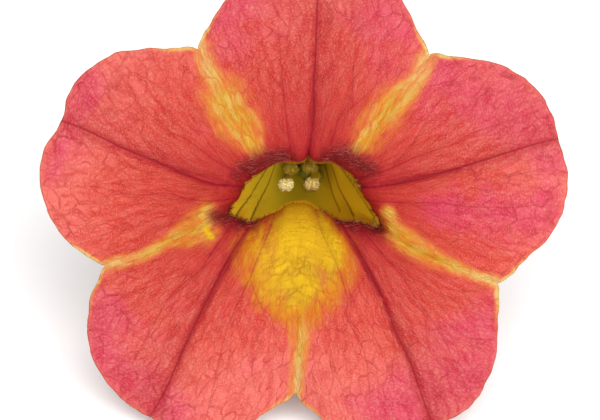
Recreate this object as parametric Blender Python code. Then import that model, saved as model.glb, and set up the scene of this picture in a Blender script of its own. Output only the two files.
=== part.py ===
"""A calibrachoa bloom, picked with its stalk and laid on a flat surface, face up towards -Y.

The bloom is shaped in its own frame, in millimetres: X to the right and Y up as seen from the front, Z along
the axis of the mouth towards the viewer, origin at the mouth. The tube runs back from there to its base.
Each point is then carried onto the tube's gentle curve and tilted into the pose in which the bloom lies.
"""

import math
from collections import namedtuple

import bmesh
import bpy
from mathutils import Matrix, Vector
from mathutils.geometry import interpolate_bezier

MM = 0.001

# Pose of the bloom on the surface
FACE_TILT = math.radians(35.0)  # the face looks this far above the horizon
ROLL = math.radians(2.1)  # brings both lower lobes down to the surface
MOUTH_HEIGHT = 14.32
MOUTH_BACK = -11.72  # from the middle of the bloom's length to the mouth, along world Y
MOUTH_SIDE = 0.05

# Corolla: tube, lip and limb
PETAL = 0.6
TUBE_LENGTH = 19.5
TUBE_BASE_RADIUS = 1.35
TUBE_MOUTH_RADIUS = 4.1
TUBE_FLARE = 1.6  # the higher, the later the tube widens
MOUTH_SHAPING_FROM = 0.55  # share of the tube's length where it starts to take the mouth's outline
RIB_SWELL = 0.04  # share by which the tube swells along each rib
TUBE_BEND = math.radians(14.0)
TUBE_BEND_LENGTH = 10.0

# Lobes: the limb's relief
TIP_DENT = 0.045
TIP_DENT_WIDTH = 0.13
PUFF_HEIGHT = 0.6
RIB_CREASE = 0.16
REFLEX = 0.9
WAVE_HEIGHT = 0.28
WAVES_PER_HALF_LOBE = 1.5
RELIEF_STARTS_OVER = 4.0
SIDE_FOLD = 0.45

# Where each rib and each seam leaves the mouth and where it meets the edge, seen from the front, with the
# reach and the depth of the rounded lip there. Ribs and seams take turns, counter-clockwise.
Spoke = namedtuple("Spoke", "mouth edge lip_reach lip_depth")
SPOKES = (
    Spoke((3.55, 0.55), (16.8, 3.75), 1.3, 1.3),  # rib of the right lobe
    Spoke((3.05, 1.45), (8.05, 9.10), 1.9, 1.6),
    Spoke((0.20, 2.50), (0.85, 16.0), 1.3, 1.3),  # rib of the top lobe
    Spoke((-3.00, 1.45), (-6.95, 9.45), 1.9, 1.6),
    Spoke((-4.05, 0.55), (-16.4, 5.0), 1.3, 1.3),  # rib of the left lobe
    Spoke((-4.95, -1.20), (-13.4, -4.75), 1.6, 1.6),
    Spoke((-3.50, -1.75), (-10.5, -14.9), 2.6, 1.8),  # rib of the lower left lobe
    Spoke((-0.35, -0.60), (-0.6, -12.95), 6.0, 2.4),  # yellow palate, down to the bottom seam
    Spoke((2.35, -1.65), (8.5, -15.4), 2.6, 1.8),  # rib of the lower right lobe
    Spoke((4.85, -1.90), (12.5, -5.75), 1.6, 1.6),
)
COLUMNS_PER_SPOKE = 8
TUBE_ROWS, LIP_ROWS, LIMB_ROWS = 10, 4, 8

# Calyx: a cup round the tube's base and five sepals
CALYX_WALL = 0.6
CUP_PROFILE = (
    (1.05, -20.75), (1.65, -20.75), (2.12, -20.50), (2.33, -19.95), (2.36, -19.1), (2.39, -18.3), (2.43, -17.6),
)
SEPAL_LENGTHS = (7.4, 7.9, 7.2, 8.1, 7.0)
SEPAL_SPREADS = (0.040, 0.034, 0.045, 0.036, 0.042)
SEPAL_HALF_WIDTHS = (1.30, 0.88, 0.92, 0.95, 0.86, 0.62, 0.22)
CALYX_COLUMNS_PER_SEPAL = 8
SEPAL_ARCH = 0.14

# Pistil and receptacle, as distance below the mouth and radius
PISTIL_STATIONS = (
    (19.5, 0.50), (19.2, 0.85), (18.4, 1.00), (17.4, 0.90), (16.7, 0.52), (16.2, 0.30), (14.5, 0.30),
    (12.8, 0.30), (11.2, 0.30), (10.9, 0.44), (10.5, 0.50), (10.1, 0.45), (9.9, 0.25),
)
STYLE_LEAN = 0.3

# Stamens: angle of the foot on the tube's wall, centre of the anther, outward bow of the filament
Stamen = namedtuple("Stamen", "foot_angle anther bow")
STAMENS = {
    "stamen_long_left": Stamen(198.0, (-1.25, 0.52, 3.4), 0.35),
    "stamen_long_right": Stamen(342.0, (0.50, 0.58, 3.6), 0.50),
    "stamen_middle_left": Stamen(126.0, (-1.00, 1.35, 7.0), 0.10),
    "stamen_middle_right": Stamen(54.0, (0.40, 1.35, 7.2), 0.10),
    "stamen_short": Stamen(270.0, (0.35, -0.85, 11.0), 0.0),
}
STAMEN_FOOT_DEPTH = 14.0
STAMEN_FOOT_GAP = 0.3
FILAMENT_RADIUS = 0.3
ANTHER_RADIUS = 0.52
ANTHER_LENGTH = 1.0
ANTHER_GROOVE = 0.2

# Stalk with the receptacle at its head
RECEPTACLE = ((19.8, 1.55), (19.95, 1.90), (20.4, 1.90), (20.45, 0.70), (21.6, 0.62))
STALK_RADIUS = 0.55
STALK_CUT_RADIUS = 0.6
STALK_LENGTH = 12.5
STALK_SIDE = 1.6
STALK_STEPS = 12
STALK_END_HEIGHT = 0.48
STALK_END_DIRECTION = (0.25, 0.93, -0.28)

PLACE = (
    Matrix.Translation((MOUTH_SIDE, MOUTH_BACK, MOUTH_HEIGHT))
    @ Matrix.Rotation(math.pi / 2 - FACE_TILT, 4, "X")
    @ Matrix.Rotation(ROLL, 4, "Z")
)


def ease(value, start, end):
    """0 before start, 1 after end, and a smooth step between."""
    share = min(max((value - start) / (end - start), 0.0), 1.0)
    return share * share * (3 - 2 * share)


def bend(point):
    """Carries a point of the straight bloom onto the curve of its tube."""
    depth = max(-point.z, 0.0)
    turn = TUBE_BEND * min(depth / TUBE_BEND_LENGTH, 1.0)
    radius = TUBE_BEND_LENGTH / TUBE_BEND
    beyond = max(depth - TUBE_BEND_LENGTH, 0.0)
    back = Vector((0, radius * (1 - math.cos(turn)), -radius * math.sin(turn)))
    back += beyond * Vector((0, math.sin(turn), -math.cos(turn)))
    across = Vector((point.x, point.y * math.cos(turn), point.y * math.sin(turn) + max(point.z, 0.0)))
    return back + across


def lay(point):
    """World position, in millimetres, of a point of the straight bloom."""
    return PLACE @ bend(point)


def base_angle(column):
    return math.radians(18 + 36 * column)


def on_circle(radius, angle):
    return Vector((radius * math.cos(angle), radius * math.sin(angle)))


def spoke(index):
    return SPOKES[index % len(SPOKES)]


def mouth_outline(column):
    """The innermost line of the mouth: a smooth closed curve through the spokes' mouth points."""
    index = math.floor(column)
    t = column - index
    a, b, c, d = (Vector(spoke(index + k).mouth) for k in (-1, 0, 1, 2))
    return 0.5 * (2 * b + (c - a) * t + (2 * a - 5 * b + 4 * c - d) * t**2 + (3 * b - a - 3 * c + d) * t**3)


def lobe_place(column):
    """The index of the lobe's rib, and the place across the lobe: 0 on the rib, -1 and 1 on its seams."""
    rib = 2 * round(column / 2)
    return rib, column - rib


def edge_outline(column):
    """The limb's edge: on each lobe a rounded arch on the line between its two seams."""
    rib, across = lobe_place(column)
    first, last = Vector(spoke(rib - 1).edge), Vector(spoke(rib + 1).edge)
    middle = (first + last) / 2
    tip = Vector(spoke(rib).edge) - middle
    tip *= 1 + TIP_DENT * (1 - math.exp(-((across / TIP_DENT_WIDTH) ** 2)))
    turn = across * math.pi / 2
    return middle + (last - first) / 2 * math.sin(turn) + tip * math.cos(turn)


def lip(column):
    """Reach and depth of the rounded lip at a column, eased between the spokes."""
    index = math.floor(column)
    share = ease(column - index, 0, 1)
    here, there = spoke(index), spoke(index + 1)
    return (
        here.lip_reach + (there.lip_reach - here.lip_reach) * share,
        here.lip_depth + (there.lip_depth - here.lip_depth) * share,
    )


def relief(column, share):
    """Height of the limb: creased along the ribs, puffed beside them, waved and turned back at the edge."""
    rib, across = lobe_place(column)
    off_rib = abs(across)
    puff = (1 - math.exp(-off_rib / RIB_CREASE)) * (1 - off_rib**2)
    height = PUFF_HEIGHT * puff * (1 - 0.5 * share)
    height -= REFLEX * share**2
    height += WAVE_HEIGHT * math.sin(2 * math.pi * WAVES_PER_HALF_LOBE * across + rib) * share**3 * puff
    towards_low_seam = across if rib % 10 == 4 else -across if rib % 10 == 0 else 0.0
    height += SIDE_FOLD * math.exp(-(((towards_low_seam - 0.85) / 0.12) ** 2)) * (1 - share)
    return height


def tube_radius(share):
    return TUBE_BASE_RADIUS + (TUBE_MOUTH_RADIUS - TUBE_BASE_RADIUS) * share**TUBE_FLARE


def corolla_point(column, row):
    """A point of the corolla's inner face: up the tube, over the lip and out to the limb's edge."""
    mouth, edge = mouth_outline(column), edge_outline(column)
    reach, depth = lip(column)
    if row <= TUBE_ROWS:
        share = row / TUBE_ROWS
        angle = base_angle(column)
        swell = 1 + RIB_SWELL * math.cos(5 * angle - math.pi / 2)
        flat = on_circle(tube_radius(share) * swell, angle).lerp(mouth, ease(share, MOUTH_SHAPING_FROM, 1))
        return Vector((*flat, -TUBE_LENGTH + (TUBE_LENGTH - depth) * share))
    span = (edge - mouth).length
    turn = min((row - TUBE_ROWS) / LIP_ROWS, 1.0) * math.pi / 2
    limb_share = max(row - TUBE_ROWS - LIP_ROWS, 0) / LIMB_ROWS
    out = reach * (1 - math.cos(turn)) + (span - reach) * limb_share
    height = -depth * (1 - math.sin(turn))
    height += relief(column, limb_share) * ease(out, 0, RELIEF_STARTS_OVER)
    return Vector((*mouth.lerp(edge, out / span), height))


def wrapped_sheet(columns, rows, place):
    """A grid rolled into a sleeve: place(column, row) gives each vertex, and the side edges are joined."""
    bm = bmesh.new()
    bmesh.ops.create_grid(bm, x_segments=columns, y_segments=rows, size=0.5)
    for vertex in bm.verts:
        vertex.co = place(round((vertex.co.x + 0.5) * columns) % columns, round((vertex.co.y + 0.5) * rows))
    bmesh.ops.remove_doubles(bm, verts=bm.verts, dist=1e-5)
    bmesh.ops.recalc_face_normals(bm, faces=bm.faces)
    return bm


def thicken_away_from_axis(bm, wall):
    """Gives a sleeve its wall on the outer side, away from the tube's axis."""
    heights = [vertex.co.z for vertex in bm.verts]
    tube_end = min(heights) + 0.3 * (max(heights) - min(heights))
    outwards = 0.0
    for face in bm.faces:
        centre = face.calc_center_median()
        if centre.z < tube_end:
            outwards += face.normal.dot(Vector((centre.x, centre.y, 0)))
    if outwards < 0:
        bmesh.ops.reverse_faces(bm, faces=bm.faces)
    bmesh.ops.solidify(bm, geom=bm.faces, thickness=-wall)
    bmesh.ops.recalc_face_normals(bm, faces=bm.faces)


def material(name, colour, roughness):
    made = bpy.data.materials.new(name)
    made.use_nodes = True
    shader = made.node_tree.nodes["Principled BSDF"]
    shader.inputs["Base Color"].default_value = (*colour, 1)
    shader.inputs["Roughness"].default_value = roughness
    shader.inputs["Metallic"].default_value = 0
    return made


def finish(bm, name, finish_material):
    """Makes the object of a finished bmesh, shaded smooth but for its sharp edges."""
    bmesh.ops.scale(bm, vec=(MM, MM, MM), verts=bm.verts)
    mesh = bpy.data.meshes.new(name)
    bm.to_mesh(mesh)
    bm.free()
    mesh.shade_smooth()
    mesh.set_sharp_from_angle(angle=math.radians(50))
    mesh.materials.append(finish_material)
    made = bpy.data.objects.new(name, mesh)
    bpy.context.scene.collection.objects.link(made)
    return made


def lay_down(bm):
    for vertex in bm.verts:
        vertex.co = lay(vertex.co)


def trim_below_surface(bm):
    """Cuts off what would sink into the surface. Each cut leaves the small flat that the bloom rests on."""
    whole = bm.verts[:] + bm.edges[:] + bm.faces[:]
    cut = bmesh.ops.bisect_plane(bm, geom=whole, dist=1e-5, plane_no=(0, 0, 1), clear_inner=True)["geom_cut"]
    bmesh.ops.holes_fill(bm, edges=[item for item in cut if isinstance(item, bmesh.types.BMEdge)])
    bmesh.ops.recalc_face_normals(bm, faces=bm.faces)


def make_corolla():
    columns = COLUMNS_PER_SPOKE * len(SPOKES)
    rows = TUBE_ROWS + LIP_ROWS + LIMB_ROWS
    bm = wrapped_sheet(columns, rows, lambda i, row: corolla_point(i / COLUMNS_PER_SPOKE, row))
    thicken_away_from_axis(bm, PETAL)
    lay_down(bm)
    trim_below_surface(bm)
    return finish(bm, "corolla", material("petal", (0.80, 0.12, 0.14), 0.55))


def sepal_point(sepal, across, step):
    """A point of a sepal's inner face: across runs from -1 to 1, step counts from the cup's rim to the tip."""
    rim_radius, rim_height = CUP_PROFILE[-1]
    along = SEPAL_LENGTHS[sepal] * step / (len(SEPAL_HALF_WIDTHS) - 1)
    side = across * SEPAL_HALF_WIDTHS[step]
    radius = rim_radius + 0.10 * along + SEPAL_SPREADS[sepal] * along**2 - SEPAL_ARCH * side**2
    angle = base_angle(2 * sepal + 1)
    flat = on_circle(radius, angle) + on_circle(side, angle + math.pi / 2)
    return Vector((*flat, rim_height + 0.95 * along))


def rim_stretch(bm, direction):
    """The cup's rim in the fifth of a turn round a direction."""
    rim_height = CUP_PROFILE[-1][1]
    stretch = []
    for edge in bm.edges:
        middle = (edge.verts[0].co + edge.verts[1].co) / 2
        at_rim = edge.is_boundary and abs(middle.z - rim_height) < 1e-4
        if at_rim and middle.xy.angle(direction) < math.pi / len(SEPAL_LENGTHS):
            stretch.append(edge)
    return stretch


def make_calyx():
    """The cup is a turned sleeve. Each sepal is drawn out of its stretch of the rim, row by row."""
    columns = CALYX_COLUMNS_PER_SEPAL * len(SEPAL_LENGTHS)

    def cup_point(i, row):
        radius, height = CUP_PROFILE[row]
        return Vector((*on_circle(radius, base_angle(len(SPOKES) * i / columns)), height))

    bm = wrapped_sheet(columns, len(CUP_PROFILE) - 1, cup_point)
    for sepal in range(len(SEPAL_LENGTHS)):
        angle = base_angle(2 * sepal + 1)
        side = on_circle(1, angle + math.pi / 2).to_3d()
        stretch = rim_stretch(bm, on_circle(1, angle))
        half_width = max(abs(vertex.co.dot(side)) for edge in stretch for vertex in edge.verts)
        for step in range(1, len(SEPAL_HALF_WIDTHS)):
            made = bmesh.ops.extrude_edge_only(bm, edges=stretch)["geom"]
            stretch = [item for item in made if isinstance(item, bmesh.types.BMEdge)]
            for vertex in (item for item in made if isinstance(item, bmesh.types.BMVert)):
                vertex.co = sepal_point(sepal, vertex.co.dot(side) / half_width, step)
            half_width = SEPAL_HALF_WIDTHS[step]
    bmesh.ops.recalc_face_normals(bm, faces=bm.faces)
    thicken_away_from_axis(bm, CALYX_WALL)
    lay_down(bm)
    return finish(bm, "calyx", material("calyx", (0.25, 0.36, 0.09), 0.6))


def capped_tube(rings, sides):
    """A closed round body through rings, each a function from an angle to a point."""
    bm = wrapped_sheet(sides, len(rings) - 1, lambda i, row: rings[row](2 * math.pi * i / sides))
    bmesh.ops.holes_fill(bm, edges=bm.edges)
    bmesh.ops.recalc_face_normals(bm, faces=bm.faces)
    return bm


def level_ring(x, y, depth, radius, groove=0.0):
    """A ring across the bloom's axis, pinched in on two sides by a share of its radius."""

    def point(angle):
        here = on_circle(radius * (1 - groove * math.sin(angle) ** 8), angle)
        return Vector((x + here.x, y + here.y, -depth))

    return point


def make_pistil():
    top = PISTIL_STATIONS[-1][0]
    foot = PISTIL_STATIONS[0][0]
    rings = [
        level_ring(0, STYLE_LEAN * (foot - depth) / (foot - top), depth, radius)
        for depth, radius in PISTIL_STATIONS
    ]
    bm = capped_tube(rings, 12)
    lay_down(bm)
    return finish(bm, "pistil", material("pistil", (0.42, 0.50, 0.12), 0.5))


def make_stamen(name, stamen):
    """A filament from the tube's wall with the two-lobed anther at its tip."""
    foot_share = 1 - STAMEN_FOOT_DEPTH / TUBE_LENGTH
    foot_radius = tube_radius(foot_share) * (1 - RIB_SWELL) - STAMEN_FOOT_GAP - FILAMENT_RADIUS
    foot = Vector((*on_circle(foot_radius, math.radians(stamen.foot_angle)), STAMEN_FOOT_DEPTH))
    head = Vector(stamen.anther)
    outwards = (foot.xy + head.xy).normalized()
    rings = []
    filament_steps = 6
    for step in range(filament_steps + 1):
        share = step / filament_steps
        here = foot.lerp(head + Vector((0, 0, ANTHER_LENGTH / 2)), share)
        here.xy += outwards * stamen.bow * math.sin(math.pi * share)
        rings.append(level_ring(here.x, here.y, here.z, FILAMENT_RADIUS))
    anther_steps = 6
    for step in range(1, anther_steps):
        turn = math.pi * (step + 0.4) / (anther_steps + 0.4)
        depth = head.z + ANTHER_LENGTH / 2 * math.cos(turn)
        rings.append(level_ring(head.x, head.y, depth, ANTHER_RADIUS * math.sin(turn), ANTHER_GROOVE))
    bm = capped_tube(rings, 12)
    lay_down(bm)
    return finish(bm, name, material(name, (0.85, 0.76, 0.42), 0.7))


def make_stalk():
    """The receptacle is a disc across the tube's base. The stalk runs from it down to the surface."""
    rings = []
    for depth, radius in RECEPTACLE:
        level = level_ring(0, 0, depth, radius)
        rings.append(lambda angle, level=level: lay(level(angle)))
    neck, before = (lay(Vector((0, 0, -depth))) for depth, radius in (RECEPTACLE[-1], RECEPTACLE[-2]))
    end = Vector((neck.x + STALK_SIDE, neck.y + STALK_LENGTH, STALK_END_HEIGHT))
    handle = STALK_LENGTH / 3
    leave = neck + (neck - before).normalized() * handle
    arrive = end - Vector(STALK_END_DIRECTION).normalized() * handle
    path = interpolate_bezier(neck, leave, arrive, end, STALK_STEPS + 1)
    for step in range(1, len(path)):
        along = (path[step] - path[step - 1]).normalized()
        up = Vector((1, 0, 0)).cross(along).normalized()
        across = along.cross(up)
        radius = STALK_RADIUS + (STALK_CUT_RADIUS - STALK_RADIUS) * (step / STALK_STEPS) ** 3

        def ring(angle, centre=path[step], up=up, across=across, radius=radius):
            return centre + across * radius * math.cos(angle) + up * radius * math.sin(angle)

        rings.append(ring)
    bm = capped_tube(rings, 12)
    trim_below_surface(bm)
    return finish(bm, "stalk", material("stalk", (0.30, 0.38, 0.12), 0.6))


def main():
    for old in list(bpy.data.objects):
        bpy.data.objects.remove(old)
    make_corolla()
    make_calyx()
    make_pistil()
    make_stalk()
    for name, stamen in STAMENS.items():
        make_stamen(name, stamen)


main()
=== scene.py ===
"""The looks of a picked calibrachoa bloom that lies on a pale floor, face up towards the camera."""

import math
import random
from collections import namedtuple

import bmesh
import bpy
import numpy as np
from mathutils import Matrix, Vector, noise
from mathutils.geometry import interpolate_bezier
from mathutils.kdtree import KDTree


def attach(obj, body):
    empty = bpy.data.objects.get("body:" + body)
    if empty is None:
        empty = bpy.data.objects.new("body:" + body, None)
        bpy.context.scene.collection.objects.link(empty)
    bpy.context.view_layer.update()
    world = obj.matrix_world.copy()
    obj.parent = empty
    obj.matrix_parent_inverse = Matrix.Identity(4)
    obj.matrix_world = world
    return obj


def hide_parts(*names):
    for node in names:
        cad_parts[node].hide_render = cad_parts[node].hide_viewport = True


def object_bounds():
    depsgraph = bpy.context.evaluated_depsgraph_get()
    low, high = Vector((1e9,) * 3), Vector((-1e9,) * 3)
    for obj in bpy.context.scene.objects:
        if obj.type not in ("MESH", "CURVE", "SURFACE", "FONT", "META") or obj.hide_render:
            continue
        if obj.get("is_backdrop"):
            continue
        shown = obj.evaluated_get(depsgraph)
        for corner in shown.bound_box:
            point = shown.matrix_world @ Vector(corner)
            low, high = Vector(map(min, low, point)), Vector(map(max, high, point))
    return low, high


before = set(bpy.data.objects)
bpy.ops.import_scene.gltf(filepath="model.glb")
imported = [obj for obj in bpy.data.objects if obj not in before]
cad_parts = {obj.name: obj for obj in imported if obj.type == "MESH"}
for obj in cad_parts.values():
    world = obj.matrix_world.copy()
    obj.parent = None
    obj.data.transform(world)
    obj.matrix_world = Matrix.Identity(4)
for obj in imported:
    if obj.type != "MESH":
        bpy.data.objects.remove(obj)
cad_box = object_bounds()

# Corolla
# Five petals grown together: a narrow tube that opens over a rounded lip into five lobes, creased along
# their ribs. It is soft living tissue, thinnest at the edge. Its base sits in the calyx.
# It is shaped in its own frame, in millimetres: X right and Y up as seen from the front, Z to the viewer.
MM = 0.001
FACE_TILT = math.radians(35.0)
ROLL = math.radians(2.1)
MOUTH_PLACE = (0.05, -11.72, 14.32)
PLACE = (
    Matrix.Translation(MOUTH_PLACE)
    @ Matrix.Rotation(math.pi / 2 - FACE_TILT, 4, "X")
    @ Matrix.Rotation(ROLL, 4, "Z")
)
TUBE_LENGTH = 19.5
TUBE_BASE_RADIUS, TUBE_MOUTH_RADIUS, TUBE_FLARE = 1.35, 4.1, 1.6
MOUTH_SHAPING_FROM = 0.55
TUBE_BEND, TUBE_BEND_LENGTH = math.radians(14.0), 10.0
RIB_SWELL = 0.04
TIP_DENT, TIP_DENT_WIDTH = 0.045, 0.13
PUFF_HEIGHT, RIB_CREASE, REFLEX = 0.5, 0.2, 0.9
WAVE_HEIGHT, WAVES_PER_HALF_LOBE = 0.28, 1.5
RELIEF_STARTS_OVER = 4.0
SIDE_FOLD, SIDE_FOLD_PLACE, SIDE_FOLD_WIDTH = 0.45, 0.85, 0.12  # on the side lobes, by their lower seams
RIGHT_LOBE, LEFT_LOBE, LOW_LEFT_LOBE, LOW_RIGHT_LOBE = 0, 4, 6, 8  # the place of each rib among the spokes
PETAL, PETAL_EDGE = 0.22, 0.35  # wall, and the share of it left at the edge
RESTING = 0.24  # what would sink lower bends level and rests on the floor

# Where each rib and seam leaves the mouth and meets the edge, its bow to the left on the way out, and the
# reach and depth of the lip there. Ribs and seams take turns, counter-clockwise.
Spoke = namedtuple("Spoke", "edge bow lip_reach lip_depth")
SPOKES = (
    Spoke((16.8, 3.75), -0.45, 1.3, 1.3),  # rib of the right lobe
    Spoke((8.05, 9.1), 0.25, 1.9, 1.6),
    Spoke((0.85, 16), -0.2, 1.3, 1.3),  # rib of the top lobe
    Spoke((-6.95, 9.45), 0.15, 1.9, 1.6),
    Spoke((-16.4, 5), 0.5, 1.3, 1.3),  # rib of the left lobe
    Spoke((-13.4, -4.75), 0.25, 1.6, 1.6),
    Spoke((-10.5, -14.9), -0.15, 2.6, 1.8),  # rib of the lower left lobe
    Spoke((-0.6, -12.95), 0, 6, 2.4),  # yellow palate, down to the bottom seam
    Spoke((8.5, -15.4), 0.42, 2.6, 1.8),  # rib of the lower right lobe
    Spoke((12.5, -5.75), -0.5, 1.6, 1.6),
)
# The mouth, at each spoke and halfway to the next
MOUTH = (
    (3.55, 0.55), (3.35, 1), (2.99, 1.46), (1.66, 2.32), (0.2, 2.5), (-1.59, 2.26), (-3.12, 1.39),
    (-3.65, 1), (-4.05, 0.53), (-4.38, -0.2), (-5.05, -1.2), (-4.32, -1.62), (-3.52, -1.8),
    (-2.1, -1.25), (-0.45, -1.12), (1.15, -1.12), (2.32, -1.72), (3.7, -1.86), (5.04, -2.16), (4.14, -0.58),
)
MOUTH_TOP = MOUTH[4]  # where the top rib runs into the mouth
MOUTH_NOTCH, MOUTH_NOTCH_WIDTH = 0.3, 0.25
PALATE_HUMP, PALATE_HUMP_MIDDLE, PALATE_HUMP_HALF_WIDTH = 0.52, -0.52, 1.1
MOUTH_TEETH = (  # column and height of each
    (0.42, 0.2), (0.02, 0.22), (9.48, 0.18), (9.26, 0.16), (3.2, 0.14), (3.75, 0.16), (4.72, 0.14),
)
TOOTH_HALF_WIDTH = 0.14
SCALLOPS, SCALLOPS_PER_MM = 0.13, 1.1
# How far the edge lies outside a plain arch, from seam to seam in quarters of the half lobe
EDGE_TRIM = {
    0: (0.33, -0.27, 0.07, 0.07, 0, 0.07, -0.05, -0.37, 0.28),
    2: (0.28, -0.58, -0.4, -0.15, 0, -0.15, -0.4, -0.5, 0.27),
    4: (0.27, -0.32, 0.12, 0.15, -0.2, 0.16, 0.2, 0.05, -0.1),
    6: (-0.15, 0.08, 0.15, -0.1, -0.1, 0, -0.2, -0.8, 0.17),
    8: (0.18, -0.35, 0, 0, 0, 0.25, 0.1, -0.23, 0.33),
}
COLUMNS_PER_SPOKE = 36
COLUMN_CROWDING = 0.35  # how much closer the columns stand at ribs and seams
TUBE_ROWS, LIP_ROWS, LIMB_ROWS = 30, 14, 78
TUBE_CROWDING = 1.4  # the higher, the closer the tube's rows stand near the mouth


def ease(value, start, end):
    """0 before start, 1 after end, and a smooth step between."""
    share = min(max((value - start) / (end - start), 0.0), 1.0)
    return share * share * (3 - 2 * share)


def mound(off, half_width, power=2):
    """1 in the middle of a rounded mound, and less and less away from it."""
    return math.exp(-((off / half_width) ** power))


def bend(point):
    """Carries a point of the straight bloom onto the curve of its tube."""
    depth = max(-point.z, 0.0)
    turn = TUBE_BEND * min(depth / TUBE_BEND_LENGTH, 1.0)
    radius = TUBE_BEND_LENGTH / TUBE_BEND
    beyond = max(depth - TUBE_BEND_LENGTH, 0.0)
    back = Vector((0, radius * (1 - math.cos(turn)), -radius * math.sin(turn)))
    back += beyond * Vector((0, math.sin(turn), -math.cos(turn)))
    across = Vector((point.x, point.y * math.cos(turn), point.y * math.sin(turn) + max(point.z, 0.0)))
    return back + across


def lay(point):
    """World position, in millimetres, of a point of the straight bloom, bent level where it would sink."""
    world = PLACE @ bend(point)
    if world.z < 2 * RESTING:
        world.z = RESTING * (1 + math.exp(world.z / RESTING - 2))
    return world


def base_angle(column):
    return math.radians(18 + 36 * column)


def on_circle(radius, angle):
    return Vector((radius * math.cos(angle), radius * math.sin(angle)))


def spoke(index):
    return SPOKES[index % len(SPOKES)]


def curve_between(a, b, c, d, t):
    """A point on the smooth curve from b to c, with a before them and d after."""
    return 0.5 * (2 * b + (c - a) * t + (2 * a - 5 * b + 4 * c - d) * t**2 + (3 * b - a - 3 * c + d) * t**3)


def mouth_outline(column):
    """The innermost line of the mouth: a smooth closed curve through its points, with a notch at the top."""
    index = math.floor(2 * column)
    a, b, c, d = (Vector(MOUTH[(index + k) % len(MOUTH)]) for k in (-1, 0, 1, 2))
    here = curve_between(a, b, c, d, 2 * column - index)
    if here.y > 0:
        here.y += MOUTH_NOTCH * mound(here.x - MOUTH_TOP[0], MOUTH_NOTCH_WIDTH)
    else:
        here.y += PALATE_HUMP * mound(here.x - PALATE_HUMP_MIDDLE, PALATE_HUMP_HALF_WIDTH, 4)
    for middle, height in MOUTH_TEETH:
        off = abs((column - middle + len(SPOKES) / 2) % len(SPOKES) - len(SPOKES) / 2) / TOOTH_HALF_WIDTH
        here += here.normalized() * height * max(1 - off, 0)
    return here


def lobe_place(column):
    """The index of the lobe's rib, and the place across the lobe: 0 on the rib, -1 and 1 on its seams."""
    rib = 2 * round(column / 2)
    return rib, column - rib


def edge_outline(column):
    """The limb's edge: on each lobe a rounded arch between its two seams, faintly scalloped."""
    rib, across = lobe_place(column)
    first, last = Vector(spoke(rib - 1).edge), Vector(spoke(rib + 1).edge)
    middle = (first + last) / 2
    tip = Vector(spoke(rib).edge) - middle
    tip *= 1 + TIP_DENT * (1 - mound(across, TIP_DENT_WIDTH))
    turn = across * math.pi / 2
    arch = middle + (last - first) / 2 * math.sin(turn) + tip * math.cos(turn)
    trims = EDGE_TRIM[rib % len(SPOKES)]
    end = len(trims) - 1
    place = end * (across + 1) / 2
    index = min(math.floor(place), end - 1)
    a, b, c, d = (trims[min(max(index + k, 0), end)] for k in (-1, 0, 1, 2))
    trim = curve_between(a, b, c, d, place - index)
    trim += SCALLOPS * noise.noise(Vector((arch.x, arch.y, 0)) * SCALLOPS_PER_MM)
    return arch + arch.normalized() * trim


def between_spokes(column, name):
    """A spoke's value, eased from one spoke to the next."""
    index = math.floor(column)
    here, there = getattr(spoke(index), name), getattr(spoke(index + 1), name)
    return here + (there - here) * ease(column - index, 0, 1)


def relief(column, share):
    """Height of the limb: creased along the ribs, puffed beside them, waved and turned back at the edge."""
    rib, across = lobe_place(column)
    off_rib = abs(across)
    puff = (1 - math.exp(-off_rib / RIB_CREASE)) * (1 - off_rib**2)
    height = PUFF_HEIGHT * puff * (1 - 0.5 * share)
    height -= REFLEX * share**2
    height += WAVE_HEIGHT * math.sin(2 * math.pi * WAVES_PER_HALF_LOBE * across + rib) * share**3 * puff
    towards_low_seam = {LEFT_LOBE: across, RIGHT_LOBE: -across}.get(rib % len(SPOKES), 0.0)
    fold = SIDE_FOLD * mound(towards_low_seam - SIDE_FOLD_PLACE, SIDE_FOLD_WIDTH)
    height += fold * ease(1 - off_rib, 0, 0.1) * (1 - share)
    return height


def tube_radius(share):
    return TUBE_BASE_RADIUS + (TUBE_MOUTH_RADIUS - TUBE_BASE_RADIUS) * share**TUBE_FLARE


def corolla_point(column, row):
    """A point of the inner face, up the tube, over the lip and out to the edge, and how far along it is."""
    mouth, edge = mouth_outline(column), edge_outline(column)
    reach, depth = between_spokes(column, "lip_reach"), between_spokes(column, "lip_depth")
    if row <= TUBE_ROWS:
        share = 1 - (1 - row / TUBE_ROWS) ** TUBE_CROWDING
        angle = base_angle(column)
        swell = 1 + RIB_SWELL * math.cos(5 * angle - math.pi / 2)
        flat = on_circle(tube_radius(share) * swell, angle).lerp(mouth, ease(share, MOUTH_SHAPING_FROM, 1))
        height = -TUBE_LENGTH + (TUBE_LENGTH - depth) * share
        return Vector((*flat, height)), (TUBE_LENGTH - depth) * (share - 1)
    span = (edge - mouth).length
    turn = min((row - TUBE_ROWS) / LIP_ROWS, 1.0) * math.pi / 2
    limb_share = max(row - TUBE_ROWS - LIP_ROWS, 0) / LIMB_ROWS
    out = reach * (1 - math.cos(turn)) + (span - reach) * limb_share
    height = -depth * (1 - math.sin(turn))
    along = out + height + depth
    height += relief(column, limb_share) * ease(out, 0, RELIEF_STARTS_OVER)
    flat = mouth.lerp(edge, out / span)
    left = (edge - mouth).orthogonal() / span
    flat += left * between_spokes(column, "bow") * 4 * (out / span) * (1 - out / span)
    return Vector((*flat, height)), along


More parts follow.
